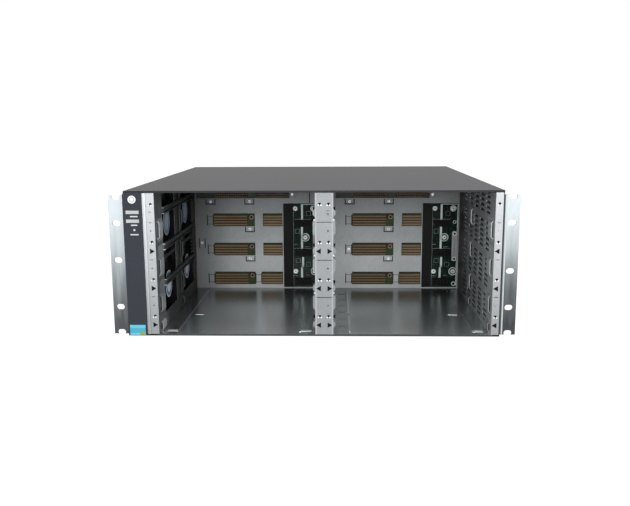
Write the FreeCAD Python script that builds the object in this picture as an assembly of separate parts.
import FreeCAD, Part
import math
import os

# Four-unit modular switch chassis for a 19-inch rack, with all of its module bays empty.
# X runs to the right as seen from the front, Y from the front to the rear, Z is up.
# The origin is on the surface the chassis stands on, under the middle of its whole outline.
# All sizes are in millimetres.

Vector = FreeCAD.Vector

# ---- sheet, boards and clearances
shell_sheet = 1.2           # painted outer shell
inner_sheet = 1.0           # galvanised inner sheet
post_sheet = 1.2            # front posts
ear_sheet = 2.0             # rack ears
board_thick = 2.4           # backplane
power_board_thick = 2.0
bend_radius = 1.0           # outside of the shell's folds
running_gap = 0.4           # fan tray to the channel that it slides in
seat_gap = 0.3              # fitted pieces that aren't pressed together
window_gap = 0.4            # a connector or board to the edge of its window
shaft_gap = 0.05            # radial, a turning shaft in its bore

# ---- module rows, from the floor up
row_count = 3
row_pitch = 45.0
row_foot = 1.0              # floor to the underside of the lowest module
top_row_height = 34.4       # the management row
lip_drop = 1.2              # front lip of the cover, below the sheet

# ---- slot plate layout, from the left edge of a bay to the right
signal_start = 28.1
signal_width = 62.6
socket_space = 12.3
aux_width = 29.6
web_width = 1.4
power_window_width = 53.5
bay_end = 1.25
socket_foot = 4.6           # row base to the lower edge of a socket window
socket_height = 19.8
bottom_aux_extra = 3.4      # the lowest small window is this much wider

# ---- depths, from the front plane
plate_depth = 248.0         # front plane to the slot plate
rear_depth = 202.9          # slot plate to the rear face
bezel_proud = 4.0
handle_reach = 24.0         # fan tray handle, beyond the tray's rear plate

# ---- side channels
duct_space = 7.0            # outside of the fans to the shell
fan_thick = 25.4
vent_channel = 9.5          # bay side of the vent wall to the outside of the shell
mid_post_width = 21.5

# ---- fans
fan_foot = 4.5              # tray floor to the lower fan
fan_stack_gap = 1.0
cable_space = 4.8           # above the upper fan
first_fan_start = 36.0      # front plane to the first fan's frame
fan_spacing = 36.0          # between the two columns of fans
tray_start = 20.0           # front plane to the tray's front edge
fan_wall_thick = 1.5        # plastic of a fan's duct
fan_flange = 4.0
hub_radius = 18.0
hub_wall = 1.8
hub_length = 17.0
hub_recess = 1.4            # fan face to the hub's face
blade_count = 7
blade_thick = 1.3
blade_gap = 1.0             # blade tip to the duct
blade_sink = 0.9            # share of the hub's wall that a blade's foot reaches into
shaft_radius = 1.5

# ---- rack ears
ear_width = 19.05
ear_margin = 3.5            # ends of an ear to the top and bottom of the shell
ear_setback = 3.0
ear_drop = 1.8              # middle of an ear below the middle of the shell
ear_flange = 30.0           # along the chassis side
ear_slot_length = 9.5
ear_slot_height = 6.8
ear_slot_inset = 10.3       # chassis side to the middle of a slot
ear_slot_spacing = 101.6    # outer pair of slots
ear_odd_slot = 6.4          # the third slot, off the middle of the ear

# ---- derived sizes
bay_width = (signal_start + signal_width + socket_space + aux_width + web_width
             + power_window_width + bay_end)
fan_channel = shell_sheet + duct_space + fan_thick + inner_sheet + running_gap + inner_sheet
body_width = fan_channel + 2 * bay_width + mid_post_width + vent_channel
body_depth = plate_depth + rear_depth
tray_plate_gap = seat_gap / 2
whole_depth = bezel_proud + body_depth + tray_plate_gap + shell_sheet + handle_reach

left = -body_width / 2
right = body_width / 2
front = bezel_proud - whole_depth / 2
rear = front + body_depth
plate = front + plate_depth

floor_top = shell_sheet + inner_sheet
row_base = floor_top + row_foot
rows_top = row_base + row_count * row_pitch
post_top = rows_top + top_row_height
cover_under = post_top + seat_gap + lip_drop
body_height = cover_under + shell_sheet
ear_height = body_height - 2 * ear_margin

fan_wall = left + fan_channel              # bay side of the fan wall
vent_wall = right - vent_channel           # bay side of the vent wall
bay_left = [fan_wall, fan_wall + bay_width + mid_post_width]
mid = fan_wall + bay_width + mid_post_width / 2
row_z = [row_base + row_pitch * row for row in range(row_count)]

aux_start = signal_start + signal_width + socket_space
power_start = aux_start + aux_width + web_width
plate_back = plate + inner_sheet
power_front = plate_back
board_front = power_front + power_board_thick
board_back = board_front + board_thick

tray_face = fan_wall - inner_sheet - running_gap    # bay side of the fan tray
tray_back = tray_face - inner_sheet
tray_low = shell_sheet + seat_gap
tray_high = cover_under - seat_gap
fan_size = (tray_high - tray_low - 2 * inner_sheet - fan_foot - fan_stack_gap - cable_space) / 2
fan_out = tray_back - fan_thick
fan_y = [front + first_fan_start + fan_size / 2 + column * (fan_size + fan_spacing)
         for column in range(2)]
fan_z = [tray_low + inner_sheet + fan_foot + fan_size / 2 + level * (fan_size + fan_stack_gap)
         for level in range(2)]
duct_radius = fan_size / 2 - fan_wall_thick
fan_places = [(y, z) for z in reversed(fan_z) for y in fan_y]


# ---------------------------------------------------------------- small helpers

def block(xs, ys, zs):
    """A box from its lower and upper limits on each axis."""
    return Part.makeBox(xs[1] - xs[0], ys[1] - ys[0], zs[1] - zs[0], Vector(xs[0], ys[0], zs[0]))


def rod(radius, start, reach):
    """A round bar from a point along the vector reach."""
    return Part.makeCylinder(radius, reach.Length, start, reach)


def prism(points, reach):
    """A straight extrusion of a closed outline."""
    return Part.Face(Part.makePolygon(points + [points[0]])).extrude(reach)


def joined(pieces):
    """One solid from pieces that touch or overlap, with no seams left on flat faces."""
    return pieces[0].fuse(pieces[1:]).removeSplitter()


def punched(shape, tools):
    """The shape with every tool cut out of it."""
    return shape.cut(Part.makeCompound(tools))


def mirrored(shape):
    """The same shape on the other side of the chassis."""
    return shape.mirror(Vector(0, 0, 0), Vector(1, 0, 0))


def save(name, shape):
    """One STEP file for each named piece."""
    shape.exportStep("parts/" + name + ".step")
    print(name, "solids", len(shape.Solids), "valid", shape.isValid(), "volume", round(shape.Volume))


def span(start, length):
    """Limits from a start and a length."""
    return (start, start + length)


def around(middle, length):
    """Limits from a middle and a length."""
    return (middle - length / 2, middle + length / 2)


# ---------------------------------------------------------------- vents

vent_slot_length = 24.0
vent_slot_height = 3.2
vent_slot_pitch = 6.4
vent_first = 33.0           # front plane to the first column of slots
vent_column_pitch = 36.0
vent_columns = 5
vent_foot = 4.0             # row base to the lowest slot of a row
slots_per_row = 6
inlet_start = 40.0          # front plane to the slots in the outside of the shell
inlet_length = 34.0
inlet_pitch = 8.0
inlet_count = 19
exhaust_length = 62.0
exhaust_height = 4.0
exhaust_pitch = 10.0
exhaust_rows = 7


def vent_slots():
    """Rows of level slots through the vent wall, one slot fewer in the top row."""
    through = (vent_wall - inner_sheet, vent_wall + 2 * inner_sheet)
    slots = []
    for column in range(vent_columns):
        depth = span(front + vent_first + column * vent_column_pitch, vent_slot_length)
        for base in row_z + [rows_top]:
            count = slots_per_row if base < rows_top else slots_per_row - 1
            for step in range(count):
                level = span(base + vent_foot + step * vent_slot_pitch, vent_slot_height)
                slots.append(block(through, depth, level))
    return slots


def inlet_slots():
    """One column of level slots through the right side of the shell."""
    through = (right - 2 * shell_sheet, right + shell_sheet)
    depth = span(front + inlet_start, inlet_length)
    return [block(through, depth, around(body_height / 2 + (step - (inlet_count - 1) / 2) * inlet_pitch,
                                         vent_slot_height))
            for step in range(inlet_count)]


def exhaust_slots(x_limits):
    """Level slots outside each fan, shorter towards the top and the bottom of its circle."""
    slots = []
    for y, z in fan_places:
        for step in range(exhaust_rows):
            rise = (step - (exhaust_rows - 1) / 2) * exhaust_pitch
            length = exhaust_length * math.cos(math.asin(rise / (exhaust_pitch * exhaust_rows / 2)))
            slots.append(block(x_limits, around(y, length), around(z + rise, exhaust_height)))
    return slots


# ---------------------------------------------------------------- painted shell

cover_flange = 8.0
small_shank = 1.5
ear_screw_head = 3.6
ear_screw_shank = 2.0
ear_screw_depth = 18.0      # from the face of the ear
ear_screw_pitch = 60.0

ear_middle = body_height / 2 - ear_drop
ear_screw_points = [(front + ear_setback + ear_screw_depth, ear_middle + step * ear_screw_pitch)
                    for step in (-1, 0, 1)]


def side_holes(points, radius):
    """Round holes through both side walls of the shell."""
    holes = [rod(radius, Vector(left, y, z), Vector(shell_sheet, 0, 0)) for y, z in points]
    return holes + [mirrored(hole) for hole in holes]


def base_pan():
    """Bottom and both sides of the shell, folded from one sheet."""
    bottom = block((left, right), (front, rear), (0, shell_sheet))
    wall = block((left, left + shell_sheet), (front, rear), (0, cover_under))
    pan = joined([bottom, wall, mirrored(wall)])
    folds = [edge for edge in pan.Edges
             if edge.BoundBox.ZMax < shell_sheet / 2 and edge.BoundBox.YLength > body_depth / 2]
    pan = pan.makeFillet(bend_radius, folds)
    holes = inlet_slots() + exhaust_slots((left - shell_sheet, left + 2 * shell_sheet))
    holes += side_holes(ear_screw_points, ear_screw_shank + seat_gap / 2)
    return punched(pan, holes)


def top_cover():
    """Flat cover with side flanges inside the pan and a short lip at the front."""
    sheet = block((left, right), (front, rear), (cover_under, body_height))
    lip = block((left + shell_sheet, right - shell_sheet), span(front, shell_sheet),
                (cover_under - lip_drop, cover_under))
    flange = block(span(left + shell_sheet, shell_sheet),
                   (front + post_sheet + inner_sheet, rear - shell_sheet),
                   (cover_under - cover_flange, cover_under))
    cover = joined([sheet, lip, flange, mirrored(flange)])
    folds = [edge for edge in cover.Edges
             if edge.BoundBox.ZMin > body_height - shell_sheet / 2
             and edge.BoundBox.YMin < front + shell_sheet]
    return cover.makeFillet(bend_radius / 2, folds)


def flush_screw(y, z, face, seat, head_radius, shank_radius, reach):
    """A screw whose head fills a hole in one sheet and bears on the sheet behind."""
    head = rod(head_radius, Vector(face, y, z), Vector(seat - face, 0, 0))
    shank = rod(shank_radius, Vector(seat, y, z), Vector(reach, 0, 0))
    return joined([head, shank])


# ---------------------------------------------------------------- inner sheets

rail_rise = 9.2             # row base to the middle of a guide rail
rail_height = 8.0
rail_lip = 2.5              # how far a rail's lips stand into the bay
rail_lip_thick = 1.0
tab_rise = 2.6              # how far a guide tab stands into the bay
tab_height = 22.5
tab_slope = 2.5
wall_tabs = [(12.0, 17.0), (139.0, 8.0)]    # each column of tabs: front plane to its start, and depth
bottom_tab_height = 13.0
lug_start = 2.0             # front plane to the lugs on the middle post
lug_depth = 8.0
short_lug = (6.0, 15.5)     # row base to the ends of the short lug in every row
long_lug = (28.5, 47.7)     # the long lug that straddles the line between two rows

window_start = 38.0         # front plane to the first window in the fan wall
near_window = 70.0
near_bar = 13.0
middle_window = 17.0
far_bar = 10.0
window_end = 20.0           # last window to the slot plate
bottom_bar = 17.0           # floor to the lowest windows
top_bar = 6.0
finger_count = 5            # contact fingers in one far window, for the tray
finger_length = 15.0
finger_width = 2.2
finger_pitch = 4.95
finger_rise = 27.0          # row base to the middle finger

near_strip = 3.6            # raised strip of the left post, beside the bezel
left_post_width = 15.2
right_post_lap = 0.5        # the right post stands this far past the vent wall

rail_levels = [base + rail_rise for base in row_z[1:] + [rows_top]]
tab_levels = [(base + row_pitch - tab_height, base + row_pitch) for base in row_z]
tab_levels.append((floor_top, floor_top + bottom_tab_height))
lug_levels = [(base + short_lug[0], base + short_lug[1]) for base in row_z + [rows_top]]
lug_levels += [(base + long_lug[0], base + long_lug[1]) for base in row_z]


def guide_tab(x, side, place, level):
    """A bridge lanced out of a sheet, which steers a module's edge; side is +1 or -1."""
    start, depth = place
    low, high = level
    rise = side * tab_rise
    skin = side * inner_sheet
    outline = [(0, low), (rise, low + tab_slope), (rise, high - tab_slope), (0, high),
               (0, high - inner_sheet), (rise - skin, high - tab_slope - inner_sheet / 2),
               (rise - skin, low + tab_slope + inner_sheet / 2), (0, low + inner_sheet)]
    points = [Vector(x + dx, front + start, z) for dx, z in outline]
    return prism(points, Vector(0, depth, 0))


def post_lug(x, side, level):
    """A solid bump on the side of the middle post; side is +1 or -1."""
    low, high = level
    rise = side * tab_rise
    outline = [(0, low), (rise, low + tab_slope), (rise, high - tab_slope), (0, high)]
    return prism([Vector(x + dx, front + lug_start, z) for dx, z in outline], Vector(0, lug_depth, 0))


def fan_windows():
    """Limits in depth and height of every window in the fan wall."""
    far_start = window_start + near_window + near_bar + middle_window + far_bar
    columns = [span(window_start, near_window),
               span(window_start + near_window + near_bar, middle_window),
               (far_start, plate_depth - window_end)]
    edges = [floor_top + bottom_bar]
    for level in rail_levels:
        edges += [level - rail_height / 2, level + rail_height / 2]
    edges.append(cover_under - top_bar)
    levels = [(edges[index], edges[index + 1]) for index in range(0, len(edges), 2)]
    return [((front + start, front + end), level) for start, end in columns for level in levels]


def fan_wall_sheet():
    """Left wall of the bays: windows over the fans, guide rails and tabs, and a front flange."""
    sheet = block((fan_wall - inner_sheet, fan_wall), (front + post_sheet, rear),
                  (shell_sheet, cover_under))
    flange = block((fan_wall - left_post_width, fan_wall), span(front + post_sheet, inner_sheet),
                   (floor_top, post_top))
    sheet = punched(joined([sheet, flange]),
                    [block((fan_wall - 2 * inner_sheet, fan_wall + inner_sheet), depth, level)
                     for depth, level in fan_windows()])
    pieces = [sheet]
    for level in rail_levels:
        for edge in (level - rail_height / 2, level + rail_height / 2 - rail_lip_thick):
            pieces.append(block((fan_wall, fan_wall + rail_lip),
                                (front + window_start, plate - window_end), span(edge, rail_lip_thick)))
    pieces += [guide_tab(fan_wall, 1, place, level) for place in wall_tabs for level in tab_levels]
    for step in range(finger_count):
        level = row_z[1] + finger_rise + (step - (finger_count - 1) / 2) * finger_pitch
        pieces.append(block((fan_wall - inner_sheet, fan_wall),
                            (plate - window_end - finger_length, plate - window_end),
                            around(level, finger_width)))
    return joined(pieces)


def vent_wall_sheet():
    """Right wall of the bays: level air slots, guide tabs and a front flange."""
    sheet = block(span(vent_wall, inner_sheet), (front + post_sheet, plate_back),
                  (shell_sheet, cover_under))
    flange = block((vent_wall, right - shell_sheet), span(front + post_sheet, inner_sheet),
                   (floor_top, post_top))
    sheet = punched(joined([sheet, flange]), vent_slots())
    tabs = [guide_tab(vent_wall, -1, place, level) for place in wall_tabs for level in tab_levels]
    return joined([sheet] + tabs)


floor_rib_places = [20.0, 170.0]    # from the left edge of a bay
floor_rib_width = 1.4
floor_rib_height = 0.4
floor_rib_start = 10.0
floor_rib_end = 28.0
floor_slot_place = 11.0
floor_slot_size = (9.0, 2.4)
floor_slot_pitch = 34.0
floor_slot_count = 6
floor_catch_size = (11.5, 2.0)
floor_catch_depth = 90.0
floor_catch_places = [26.5, 151.0]


def floor_plate():
    """Plate under the modules, with guide ribs, lanced catches and a row of slots."""
    sheet = block((fan_wall, vent_wall), (front, plate_back), (shell_sheet, floor_top))
    ribs = []
    for start in bay_left:
        for place in floor_rib_places:
            ribs.append(block(around(start + place, floor_rib_width),
                              (front + floor_rib_start, plate - floor_rib_end),
                              (floor_top, floor_top + floor_rib_height)))
    catches = [block(span(start + place, floor_catch_size[0]),
                     span(front + floor_catch_depth, floor_catch_size[1]),
                     (floor_top, floor_top + floor_rib_height))
               for start, place in zip(bay_left, floor_catch_places)]
    slots = [block(around(bay_left[1] + floor_slot_place, floor_slot_size[0]),
                   span(front + floor_slot_pitch * (step + 1), floor_slot_size[1]),
                   (shell_sheet, floor_top))
             for step in range(floor_slot_count)]
    return punched(joined([sheet] + ribs + catches), slots)


# ---------------------------------------------------------------- front posts

post_hole_radius = 1.8
post_hole_rise = 21.2       # row base to the screw holes
post_hole_spread = 5.15     # from the middle of the mid post
pilot_radius = 1.0
pilot_rise = 34.7
pilot_shift = 4.5
post_flange = 10.0
groove_width = 0.7
groove_depth = 0.35


def post_cuts(x_places, x_limits, pilot_x):
    """Screw holes, pilot holes and the lines between rows."""
    cuts = []
    through = Vector(0, 2 * post_sheet, 0)
    for base in row_z + [rows_top]:
        for x in x_places:
            hole = Vector(x, front - post_sheet / 2, base + post_hole_rise)
            cuts.append(rod(post_hole_radius, hole, through))
    for base in row_z:
        cuts.append(rod(pilot_radius, Vector(pilot_x, front - post_sheet / 2, base + pilot_rise), through))
        cuts.append(block(x_limits, (front - groove_depth, front + groove_depth),
                          around(base + row_pitch, groove_width)))
    return cuts


def left_post():
    """Flat strip beside the fan wall, with a raised strip along the bezel."""
    strip = block((fan_wall - left_post_width, fan_wall), span(front, post_sheet), (floor_top, post_top))
    ridge_end = fan_wall - left_post_width + near_strip + bezel_wall
    ridge = block((ridge_end - near_strip, ridge_end), (front - inner_sheet, front), (floor_top, post_top))
    middle = (ridge_end + fan_wall) / 2
    return punched(joined([strip, ridge]),
                   post_cuts([middle + pilot_radius], (ridge_end, fan_wall), middle))


def mid_post():
    """Channel between the two bays, with lugs on both of its sides."""
    limits = around(mid, mid_post_width)
    face = block(limits, span(front, post_sheet), (floor_top, post_top))
    flange = block(span(limits[0], post_sheet), (front, front + post_flange), (floor_top, post_top))
    other = block((limits[1] - post_sheet, limits[1]), (front, front + post_flange), (floor_top, post_top))
    lugs = []
    for level in lug_levels:
        lugs.append(post_lug(limits[0], -1, level))
        lugs.append(post_lug(limits[1], 1, level))
    return punched(joined([face, flange, other] + lugs),
                   post_cuts([mid - post_hole_spread, mid + post_hole_spread], limits, mid + pilot_shift))


def right_post():
    """Flat strip between the right bay and the shell."""
    limits = (vent_wall - right_post_lap, right - shell_sheet)
    strip = block(limits, span(front, post_sheet), (floor_top, post_top))
    middle = sum(limits) / 2
    return punched(strip, post_cuts([middle], limits, middle - pilot_radius))


guide_width = mid_post_width - 2 * post_sheet - 2 * window_gap
guide_height = 5.0


def centre_guide(level):
    """Channel from the mid post to the slot plate, which carries the inner edges of two modules."""
    ys = (front + post_sheet, plate)
    web = block(around(mid, guide_width), ys, (level - inner_sheet, level))
    sides = [block(around(mid + side * (guide_width - inner_sheet) / 2, inner_sheet), ys,
                   (level - guide_height, level)) for side in (-1, 1)]
    return joined([web] + sides)


# ---------------------------------------------------------------- slot plate and boards

top_window = (3.0, 147.0)           # start and width, from the left edge of a bay
top_window_foot = 2.3               # above the top of the rows
top_window_height = 19.0
power_window = (3.4, 132.6)         # height limits of the power board's window
clip_slot = 1.6                     # width of the slot around a clip
flat_clip = (15.0, 8.4)
tall_clip = (10.4, 15.6)
screw_head_radius = 2.6
screw_head_height = 1.4

# Each clip: distance from the bay's left edge, and height. The first bay has two of its own.
flat_clips = [(24.1, rows_top - 3.2), (82.9, rows_top - 3.2),
              (83.0, row_z[2] - 0.3), (83.0, row_z[1] - 0.6)]
tall_clip_rise = 14.0       # row base to the middle of a tall clip
tall_clips = [(signal_start - 5.2, base + tall_clip_rise) for base in row_z]
tall_clips.append((signal_start + signal_width + 4.5, row_z[0] + tall_clip_rise))
own_clips = [(9.6, row_z[1] + 24.0), (178.4, rows_top + 3.0)]
power_screws = [(152.2, 124.6), (179.8, 124.6), (167.3, 80.6), (152.3, 28.1), (181.4, 28.1)]


def aux_limits(start, row):
    """Width limits of a small socket's window; the lowest one is wider."""
    extra = bottom_aux_extra if row == 0 else 0
    return (start + aux_start - extra, start + aux_start + aux_width)


def flat_clip_cuts(x, z):
    """A U-shaped slot that leaves a tongue hanging from its top edge."""
    width, height = flat_clip
    ys = (plate - inner_sheet, plate + 2 * inner_sheet)
    low = z - height / 2
    return [block(span(x - width / 2, clip_slot), ys, span(low, height)),
            block(span(x + width / 2 - clip_slot, clip_slot), ys, span(low, height)),
            block(around(x, width), ys, span(low, clip_slot))]


def tall_clip_cuts(x, z):
    """Two upright slots that leave a bridge between them."""
    width, height = tall_clip
    ys = (plate - inner_sheet, plate + 2 * inner_sheet)
    return [block(around(x + side * (width - clip_slot) / 2, clip_slot), ys, around(z, height))
            for side in (-1, 1)]


def slot_plate():
    """Upright plate at the back of the bays, with windows for the connectors and lanced clips."""
    sheet = block((fan_wall, vent_wall), (plate, plate_back), (floor_top, cover_under))
    through = (plate - inner_sheet, plate_back + inner_sheet)
    cuts = []
    for start in bay_left:
        for row, base in enumerate(row_z):
            level = span(base + socket_foot, socket_height)
            cuts.append(block(span(start + signal_start, signal_width), through, level))
            cuts.append(block(aux_limits(start, row), through, level))
        cuts.append(block(span(start + top_window[0], top_window[1]), through,
                          span(rows_top + top_window_foot, top_window_height)))
        cuts.append(block(span(start + power_start, power_window_width), through, power_window))
        for x, z in flat_clips:
            cuts += flat_clip_cuts(start + x, z)
        for x, z in tall_clips:
            cuts += tall_clip_cuts(start + x, z)
    for x, z in own_clips:
        cuts += tall_clip_cuts(bay_left[0] + x, z)
    return punched(sheet, cuts)


def backplane_board():
    """Circuit board that every module and power supply plugs into."""
    return block((fan_wall + board_thick, vent_wall - board_thick), (board_front, board_back),
                 (row_base, post_top - board_thick))


def board_screws():
    """Screws through the power boards, down to the backplane."""
    screws = []
    for start in bay_left:
        for x, z in power_screws:
            seat = Vector(start + x, power_front, z)
            head = rod(screw_head_radius, seat, Vector(0, -screw_head_height, 0))
            shank = rod(small_shank, seat, Vector(0, power_board_thick, 0))
            screws.append(joined([head, shank]))
    return Part.makeCompound(screws)


# ---------------------------------------------------------------- connectors

socket_base = 1.0           # moulded foot of a socket, on the board
socket_recess = 0.4         # slot plate to the face of a socket
socket_head_room = 3.2      # window edge above the contact block
contact_rows = 4
contact_groove = 0.8
signal_end = 11.2           # foot to the right of the contact block
pin_radius = 2.3
power_socket_size = (25.8, 9.6)
power_socket_start = 17.4   # from the power window's left edge
power_socket_foot = 4.2
power_socket_proud = 3.0    # beyond the slot plate
power_slot = 2.0
cover_strip_width = 14.0
cover_strip_proud = 1.5
header_size = (8.0, 44.6)
header_start = 44.6
header_level = 44.9
header_proud = 2.0


def contact_block(xs, zs):
    """Connector body whose face is grooved between its rows of contacts."""
    face = plate + socket_recess
    body = block(xs, (face, board_front), zs)
    height = zs[1] - zs[0]
    grooves = [block(xs, (face - contact_groove, face + contact_groove),
                     around(zs[0] + height * row / contact_rows, contact_groove))
               for row in range(1, contact_rows)]
    return punched(body, grooves)


def socket(xs, base, end_room, with_pin):
    """A backplane socket on its foot; the long ones carry a guide pin at the right end."""
    low = base + socket_foot + window_gap
    high = base + socket_foot + socket_height - window_gap
    limits = (xs[0] + window_gap, xs[1] - window_gap)
    foot = block(limits, (board_front - socket_base, board_front), (low, high))
    body = contact_block((limits[0] + window_gap, limits[1] - end_room), (low, high - socket_head_room))
    pieces = [foot, body]
    if with_pin:
        place = Vector(limits[1] - end_room / 2, board_front, high - pin_radius - window_gap)
        pieces.append(rod(pin_radius, place, Vector(0, plate - board_front, 0)))
    return joined(pieces)


def management_socket(start, place):
    """Long low socket in the row above the modules."""
    xs = span(start + top_window[0] + place, management_width)
    low = rows_top + top_window_foot + window_gap
    return contact_block(xs, (low, low + management_height))


management_width = 49.0
management_height = 14.0
management_places = [28.0, 88.5]


def power_board(start):
    """Small power board with its three soldered sockets."""
    x = start + power_start
    board = block((x + window_gap, x + power_window_width - window_gap), (power_front, board_front),
                  (power_window[0] + window_gap, power_window[1] - window_gap))
    board = punched(board, [rod(small_shank + shaft_gap, Vector(start + px, power_front, pz),
                                Vector(0, power_board_thick, 0)) for px, pz in power_screws])
    sockets = []
    for base in row_z:
        xs = span(x + power_socket_start, power_socket_size[0])
        zs = span(base + power_socket_foot, power_socket_size[1])
        body = block(xs, (plate - power_socket_proud, power_front), zs)
        blades = [block(around(xs[0] + power_socket_size[0] * share, power_slot),
                        span(plate - power_socket_proud, power_slot),
                        around(sum(zs) / 2, power_socket_size[1] / 2))
                  for share in (0.2, 0.4, 0.6, 0.8)]
        sockets.append(punched(body, blades))
    return joined([board] + sockets)


def busbar_cover(start):
    """Black strip along the left edge of a power board."""
    x = start + power_start + window_gap
    return block(span(x, cover_strip_width), (plate - cover_strip_proud, power_front),
                 (power_window[0] + window_gap, power_window[1] - window_gap))


def status_header(start):
    """Tall white header at the right edge of a power board."""
    x = start + power_start + header_start
    body = block(span(x, header_size[0]), (plate - header_proud, power_front),
                 span(header_level, header_size[1]))
    groove = block(around(x + header_size[0] / 2, power_slot), span(plate - header_proud, power_slot),
                   span(header_level + header_size[0], header_size[1] - 2 * header_size[0]))
    return punched(body, [groove])


# ---------------------------------------------------------------- bezel and its lights

bezel_wall = 1.6
bezel_width = 22.3
bezel_foot = 1.3
bezel_head = 1.8            # top of the bezel below the top of the shell
bezel_corner = 3.0
badge_radius = 5.0
badge_drop = 8.0            # top of the bezel to the middle of the badge
badge_depth = 0.5
light_size = (15.6, 4.2)
light_levels = [150.6, 140.2]
light_flange = 0.8


def bezel_limits():
    """Width and height limits of the bezel."""
    return (left, left + bezel_width), (bezel_foot, body_height - bezel_head)


def bezel():
    """Moulded strip over the end of the fan channel, open at its back."""
    xs, zs = bezel_limits()
    body = block(xs, (front - bezel_proud, front), zs)
    corner = [edge for edge in body.Edges
              if edge.BoundBox.XMax < left + bezel_wall and edge.BoundBox.ZMin > zs[1] - bezel_wall]
    body = body.makeFillet(bezel_corner, corner)
    hollow = block((xs[0] + bezel_wall, xs[1] - bezel_wall), (front - bezel_proud + bezel_wall, front),
                   (zs[0] + bezel_wall, zs[1] - bezel_corner))
    middle = sum(xs) / 2
    cuts = [hollow, rod(badge_radius, Vector(middle, front - bezel_proud, zs[1] - badge_drop),
                        Vector(0, badge_depth, 0))]
    for level in light_levels:
        cuts.append(block(around(middle, light_size[0]), (front - bezel_proud, front),
                          around(level, light_size[1])))
    return punched(body, cuts)


def light_lens(level):
    """Clear bar in a slot of the bezel, with a flange behind the slot."""
    xs = bezel_limits()[0]
    middle = sum(xs) / 2
    seat = front - bezel_proud + bezel_wall
    lens = block(around(middle, light_size[0] - seat_gap), (front - bezel_proud, seat),
                 around(level, light_size[1] - seat_gap))
    flange = block(around(middle, light_size[0] + 2 * light_flange), (seat, seat + light_flange),
                   around(level, light_size[1] + 2 * light_flange))
    return joined([lens, flange])


# ---------------------------------------------------------------- rack ears

notch_inset = 2.0           # end of the ear to the middle of its open notch


def level_slot(x, y, z):
    """Cutter for a rack slot: a level slot with round ends."""
    radius = ear_slot_height / 2
    half = ear_slot_length / 2 - radius
    reach = Vector(0, 3 * ear_sheet, 0)
    ends = [rod(radius, Vector(x + side * half, y - ear_sheet, z), reach) for side in (-1, 1)]
    middle = block(around(x, 2 * half), (y - ear_sheet, y + 2 * ear_sheet), around(z, 2 * radius))
    return joined([middle] + ends)


def rack_ear_left():
    """Folded bracket with three rack slots and an open notch at each end."""
    y = front + ear_setback
    zs = around(ear_middle, ear_height)
    face = block((left - ear_width, left), span(y, ear_sheet), zs)
    flange = block((left - ear_sheet, left), span(y, ear_flange), zs)
    ear = joined([face, flange])
    x = left - ear_slot_inset
    levels = [ear_middle - ear_slot_spacing / 2, ear_middle + ear_odd_slot,
              ear_middle + ear_slot_spacing / 2, zs[0] + notch_inset, zs[1] - notch_inset]
    cuts = [level_slot(x, y, level) for level in levels]
    through = Vector(3 * ear_sheet, 0, 0)
    cuts += [rod(ear_screw_head + seat_gap / 2, Vector(left - 2 * ear_sheet, py, pz), through)
             for py, pz in ear_screw_points]
    return punched(ear, cuts)


def rack_ear_right():
    """The same bracket, turned end for end on the other side."""
    return rack_ear_left().rotated(Vector(0, 0, ear_middle), Vector(0, 1, 0), 180)


def ear_screws():
    """Three flush screws on each side, through the ear into the pan."""
    screws = [flush_screw(y, z, left - ear_sheet + seat_gap, left, ear_screw_head, ear_screw_shank,
                          2 * shell_sheet)
              for y, z in ear_screw_points]
    return Part.makeCompound(screws + [mirrored(screw) for screw in screws])


# ---------------------------------------------------------------- rear

psu_height = 124.0
psu_foot = 8.0
psu_frame = 6.0
grille_slot_width = 4.0
grille_pitch = 9.0
grille_foot = 9.0           # power supply opening to the grille
grille_head = 11.1          # grille to the underside of the cover
grille_count = 20
psu_socket_size = (64.0, 26.0)
psu_socket_depth = 12.0
psu_socket_level = 34.0
psu_groove = 2.0
tray_lap = 10.0             # how far the tray's rear plate laps the rear panel
captive_inset = 12.0        # end of the tray's rear plate to a captive screw


def psu_limits():
    """Width limits of the two power supply openings."""
    return [(fan_wall + psu_frame + tray_lap, mid - psu_frame),
            (mid + psu_frame, right - shell_sheet - psu_frame)]


def captive_points():
    """Width and height of the two captive screws."""
    x = fan_wall + tray_lap / 2
    return [(x, shell_sheet + captive_inset), (x, cover_under - captive_inset)]


def rear_panel():
    """Rear face with two power supply openings and a grille above each."""
    sheet = block((fan_wall, right - shell_sheet), (rear - shell_sheet, rear), (shell_sheet, cover_under))
    through = (rear - 2 * shell_sheet, rear + shell_sheet)
    cuts = []
    for xs in psu_limits():
        cuts.append(block(xs, through, span(psu_foot, psu_height)))
        middle = sum(xs) / 2
        level = (psu_foot + psu_height + grille_foot, cover_under - grille_head)
        for step in range(grille_count):
            x = middle + (step - (grille_count - 1) / 2) * grille_pitch
            cuts.append(block(around(x, grille_slot_width), through, level))
    reach = Vector(0, 3 * shell_sheet, 0)
    cuts += [rod(captive_shank + seat_gap, Vector(x, rear - 2 * shell_sheet, z), reach)
             for x, z in captive_points()]
    return punched(sheet, cuts)


def bay_divider():
    """Upright sheet between the two power supply bays, flanged at its foot and rear edge."""
    zs = (shell_sheet, cover_under)
    sheet = block(around(mid, inner_sheet), (board_back, rear - shell_sheet), zs)
    flange = (mid, mid + psu_frame - window_gap)
    foot = block(flange, (board_back, rear - shell_sheet), span(shell_sheet, inner_sheet))
    edge = block(flange, (rear - shell_sheet - inner_sheet, rear - shell_sheet), zs)
    return joined([sheet, foot, edge])


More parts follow.
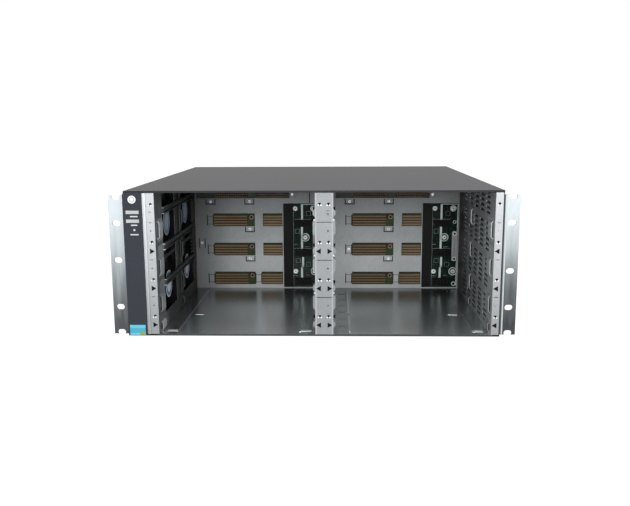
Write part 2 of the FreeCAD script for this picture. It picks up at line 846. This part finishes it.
def psu_socket(xs):
    """Connector on the rear of the backplane for one power supply."""
    middle = sum(xs) / 2
    body = block(around(middle, psu_socket_size[0]), span(board_back, psu_socket_depth),
                 around(psu_socket_level, psu_socket_size[1]))
    face = board_back + psu_socket_depth
    grooves = [block(around(middle, psu_socket_size[0] - 4 * psu_groove), (face - psu_groove, face),
                     around(psu_socket_level + side * psu_socket_size[1] / 4, psu_groove))
               for side in (-1, 0, 1)]
    return punched(body, grooves)


# ---------------------------------------------------------------- fan tray

tray_corner = 9.0           # corner of a fan's opening in the tray, left for its screw
handle_width = 14.0
handle_height = 62.0
handle_thick = 2.0
handle_foot = 10.0
handle_bend = 4.0
pin_count = 5
pin_pitch = 5.9
pin_width = 2.4
pin_height = 0.7
fan_board_gap = 2.2         # far fan to the board that carries the pins
pin_level = 93.5
board_room = 3.0            # board around its pins
fan_board_width = 16.0
captive_shank = 2.0
captive_knob = 4.5
captive_length = 10.0
captive_reach = 6.0         # beyond the rear panel

tray_rear = rear + tray_plate_gap
tray_rear_face = tray_rear + shell_sheet
fan_board_edge = fan_y[1] + fan_size / 2 + fan_board_gap
pin_row = fan_board_edge + board_room / 2 + pin_width / 2
pin_row_height = (pin_count - 1) * pin_pitch + 2 * pin_width


def cut_square(x, y, z, half, cut):
    """Outline of a square across X with its corners cut off."""
    corners = [(half - cut, half), (half, half - cut), (half, cut - half), (half - cut, -half),
               (cut - half, -half), (-half, cut - half), (-half, half - cut), (cut - half, half)]
    return [Vector(x, y + dy, z + dz) for dy, dz in corners]


def fan_tray():
    """Channel that carries the four fans, closed by a plate at the rear."""
    ys = (front + tray_start, tray_rear)
    sheet = block((tray_back, tray_face), ys, (tray_low, tray_high))
    flanges = [block((fan_out, tray_face), ys, span(tray_low, inner_sheet)),
               block((fan_out, tray_face), ys, span(tray_high - inner_sheet, inner_sheet))]
    plate_sheet = block((left + shell_sheet + seat_gap, fan_wall + tray_lap), (tray_rear, tray_rear_face),
                        (tray_low, tray_high))
    tray = joined([sheet, plate_sheet] + flanges)
    cuts = [prism(cut_square(tray_back, y, z, duct_radius, tray_corner), Vector(inner_sheet, 0, 0))
            for y, z in fan_places]
    cuts.append(block((tray_back - inner_sheet, tray_face + inner_sheet), around(pin_row, 2 * pin_width),
                      around(pin_level, pin_row_height)))
    cuts += [rod(captive_shank + shaft_gap, Vector(x, tray_rear, z), Vector(0, shell_sheet, 0))
             for x, z in captive_points()]
    return punched(tray, cuts)


def tray_handle():
    """Folded strap on the rear of the tray, open for the fingers."""
    x = (left + shell_sheet + fan_wall) / 2
    xs = around(x, handle_width)
    middle = (tray_low + tray_high) / 2
    start = tray_rear_face
    outer = block(xs, (start, start + handle_reach), around(middle, handle_height))
    inner = block(xs, (start, start + handle_reach - handle_thick),
                  around(middle, handle_height - 2 * handle_thick))
    strap = outer.cut(inner)
    corners = [edge for edge in strap.Edges
               if edge.BoundBox.YMin > start + handle_reach - handle_thick / 2
               and edge.BoundBox.XLength > handle_width / 2]
    strap = strap.makeFillet(handle_bend, corners)
    feet = block(xs, span(start, handle_thick), around(middle, handle_height + 2 * handle_foot))
    opening = block(xs, span(start, handle_thick), around(middle, handle_height - 2 * handle_thick))
    return joined([strap, feet.cut(opening)])


def fan_board():
    """Small board on the outside of the tray, whose pins show through a slot."""
    board = block((tray_back - power_board_thick, tray_back), span(fan_board_edge, fan_board_width),
                  around(pin_level, pin_row_height + 2 * board_room))
    pins = [block((tray_back, tray_back + pin_height), around(pin_row, pin_width),
                  around(pin_level + (step - (pin_count - 1) / 2) * pin_pitch, pin_width))
            for step in range(pin_count)]
    return joined([board] + pins)


def captive_screw(x, z):
    """Thumb screw that holds the tray to the rear panel."""
    knob = rod(captive_knob, Vector(x, tray_rear_face + tray_plate_gap, z), Vector(0, captive_length, 0))
    end = rear - shell_sheet - captive_reach
    shank = rod(captive_shank, Vector(x, end, z), Vector(0, tray_rear_face + tray_plate_gap - end, 0))
    return joined([knob, shank])


# ---------------------------------------------------------------- fans

motor_plate = 3.0
boss_radius = 5.0
boss_length = 12.0
strut_width = 4.0
fan_corner_cut = 14.0
blade_chord = 18.0
blade_camber = 2.6
blade_pitch = 40.0          # degrees from the plane of rotation

hub_face = tray_back - hub_recess
hub_back = hub_face - hub_length


def fan_housing(y, z):
    """Fan frame: square flanges, a waist with cut corners, and the motor held on four struts."""
    waist = cut_square(fan_out, y, z, fan_size / 2, fan_corner_cut)
    flanges = [block(span(start, fan_flange), around(y, fan_size), around(z, fan_size))
               for start in (fan_out, tray_back - fan_flange)]
    frame = joined([prism(waist, Vector(fan_thick, 0, 0))] + flanges)
    frame = frame.cut(rod(duct_radius, Vector(fan_out, y, z), Vector(fan_thick, 0, 0)))
    motor = rod(hub_radius, Vector(fan_out, y, z), Vector(motor_plate, 0, 0))
    boss = rod(boss_radius, Vector(fan_out, y, z), Vector(boss_length, 0, 0))
    reach = duct_radius + fan_wall_thick / 2
    struts = [block(span(fan_out, motor_plate), around(y, 2 * reach), around(z, strut_width)),
              block(span(fan_out, motor_plate), around(y, strut_width), around(z, 2 * reach))]
    bearing = rod(shaft_radius + shaft_gap, Vector(fan_out, y, z), Vector(boss_length, 0, 0))
    return joined([frame, motor, boss] + struts).cut(bearing)


def fan_blade(foot, tip):
    """Curved vane that stands along +Z, cut round at its tip."""
    turn = math.radians(blade_pitch)
    along = Vector(math.sin(turn), math.cos(turn), 0) * (blade_chord / 2)
    across = Vector(math.cos(turn), -math.sin(turn), 0)
    start = Vector(hub_length / 2, 0, foot)
    faces = []
    for offset in (-blade_thick / 2, blade_thick / 2):
        middle = start + across * offset
        faces.append((middle - along, middle + across * blade_camber, middle + along))
    back, face = faces
    outline = Part.Wire([Part.Arc(*back).toShape(), Part.LineSegment(back[2], face[2]).toShape(),
                         Part.Arc(*reversed(face)).toShape(), Part.LineSegment(face[0], back[0]).toShape()])
    vane = Part.Face(outline).extrude(Vector(0, 0, tip - foot))
    return vane.common(rod(tip, Vector(-hub_length, 0, 0), Vector(3 * hub_length, 0, 0)))


def fan_rotor(y, z):
    """Cup-shaped hub with curved blades and a shaft that turns in the housing's bearing."""
    cup = rod(hub_radius, Vector(0, 0, 0), Vector(hub_length, 0, 0))
    hollow = rod(hub_radius - hub_wall, Vector(0, 0, 0), Vector(hub_length - hub_wall, 0, 0))
    cup = cup.cut(hollow)
    blade = fan_blade(hub_radius - hub_wall * blade_sink, duct_radius - blade_gap)
    blades = [blade.rotated(Vector(0, 0, 0), Vector(1, 0, 0), 360 * index / blade_count)
              for index in range(blade_count)]
    shaft_end = fan_out + motor_plate / 2 - hub_back
    shaft = rod(shaft_radius, Vector(shaft_end, 0, 0), Vector(hub_length - shaft_end, 0, 0))
    rotor = joined([cup, shaft] + blades)
    rotor.translate(Vector(hub_back, y, z))
    return rotor


# ---------------------------------------------------------------- write every piece

def main():
    os.makedirs("parts", exist_ok=True)
    save("base_pan", base_pan())
    save("top_cover", top_cover())
    save("floor_plate", floor_plate())
    save("fan_wall", fan_wall_sheet())
    save("vent_wall", vent_wall_sheet())
    save("slot_plate", slot_plate())
    save("backplane_board", backplane_board())
    save("board_screws", board_screws())
    save("left_post", left_post())
    save("mid_post", mid_post())
    save("right_post", right_post())
    for index, base in enumerate(row_z):
        save("centre_guide_" + str(index + 1), centre_guide(base + row_pitch))
    letters = "abcdef"
    for bay, start in enumerate(bay_left):
        for row, base in enumerate(row_z):
            letter = letters[2 * (row_count - 1 - row) + bay]
            save("signal_socket_" + letter,
                 socket(span(start + signal_start, signal_width), base, signal_end, True))
            save("aux_socket_" + letter, socket(aux_limits(start, row), base, window_gap, False))
        for side, place in enumerate(management_places):
            save("management_socket_" + letters[2 * bay + side], management_socket(start, place))
        name = ("left", "right")[bay]
        save("power_board_" + name, power_board(start))
        save("busbar_cover_" + name, busbar_cover(start))
        save("status_header_" + name, status_header(start))
        save("psu_socket_" + name, psu_socket(psu_limits()[bay]))
    save("bezel", bezel())
    save("power_light", light_lens(light_levels[0]))
    save("fault_light", light_lens(light_levels[1]))
    save("rack_ear_left", rack_ear_left())
    save("rack_ear_right", rack_ear_right())
    save("ear_screws", ear_screws())
    save("rear_panel", rear_panel())
    save("bay_divider", bay_divider())
    save("fan_tray", fan_tray())
    save("tray_handle", tray_handle())
    save("fan_board", fan_board())
    for index, (y, z) in enumerate(fan_places):
        save("fan_housing_" + str(index + 1), fan_housing(y, z))
        save("fan_rotor_" + str(index + 1), fan_rotor(y, z))
    for name, (x, z) in zip(("bottom", "top"), captive_points()):
        save("captive_screw_" + name, captive_screw(x, z))
    print("body", body_width, body_depth, body_height, "front", front, "rear", rear, "fan", fan_size)
    print("fans", fan_places, "mid", mid, "bays", bay_left, "plate", plate)


main()
